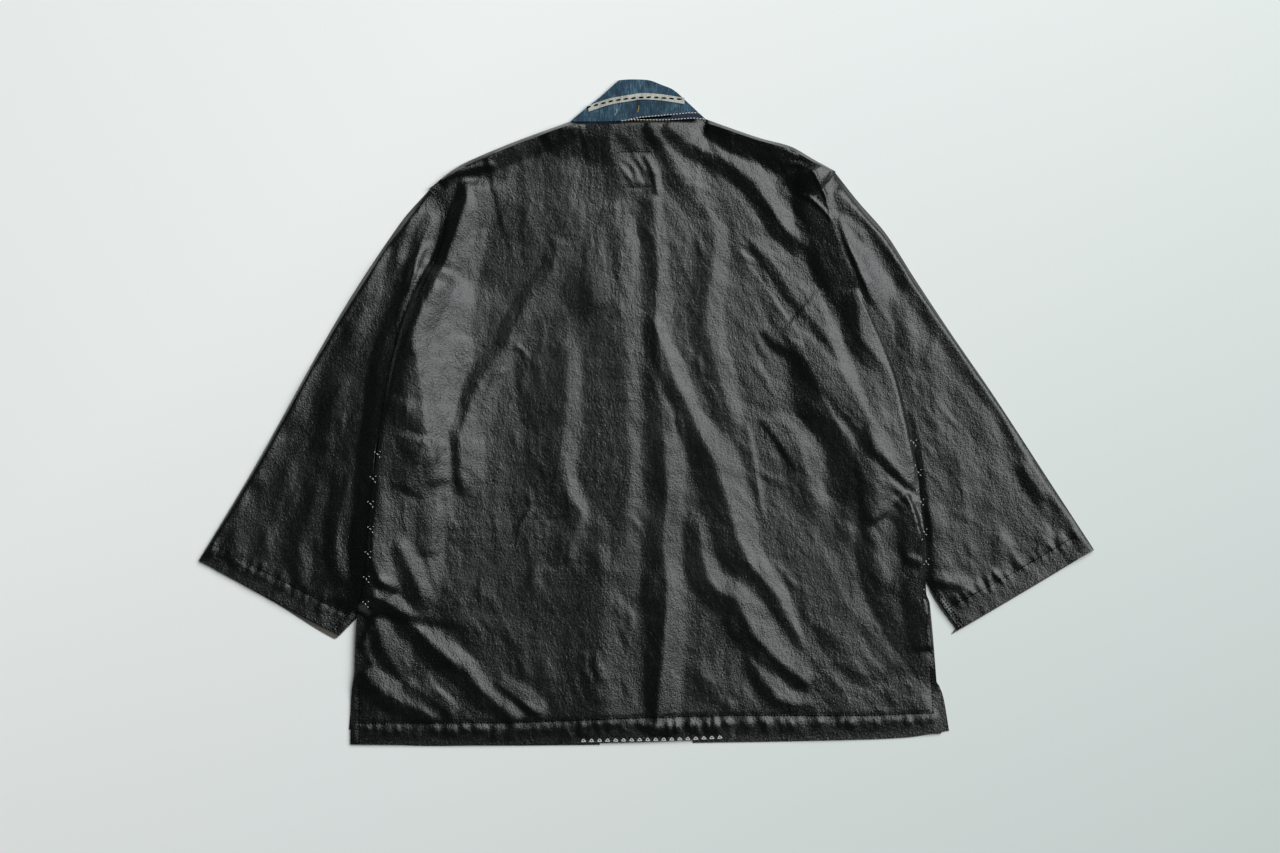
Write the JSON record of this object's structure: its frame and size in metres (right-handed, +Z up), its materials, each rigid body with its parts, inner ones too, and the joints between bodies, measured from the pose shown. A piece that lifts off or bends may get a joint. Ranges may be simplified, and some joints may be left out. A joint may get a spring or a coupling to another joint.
{
  "type": "noragi jacket laid flat",
  "caption": "Open-front work jacket with wide straight sleeves and a band collar, laid face down and flat, in dark coated cotton with a faded indigo collar.",
  "frame": {"origin": "centre of the jacket's bounding box, on the surface it lies on", "axes": "+X across the jacket towards the wearer's right sleeve, +Y up the back from hem to collar, +Z up from the surface"},
  "size_m": [1.038, 0.7729, 0.0209],
  "materials": {
    "coated_cotton": "coated, soft sheen",
    "denim": "matte twill, faded",
    "dark_denim": "matte twill",
    "tape": "matte woven tape"
  },
  "bodies": {
    "root": {"back": "coated_cotton", "front_left": "coated_cotton", "front_right": "coated_cotton", "sleeve_left": "coated_cotton", "sleeve_right": "coated_cotton", "collar_back": "denim", "collar_left": "denim", "collar_right": "denim", "collar_tape": "tape", "collar_stand": "dark_denim"}
  },
  "joints": []
}
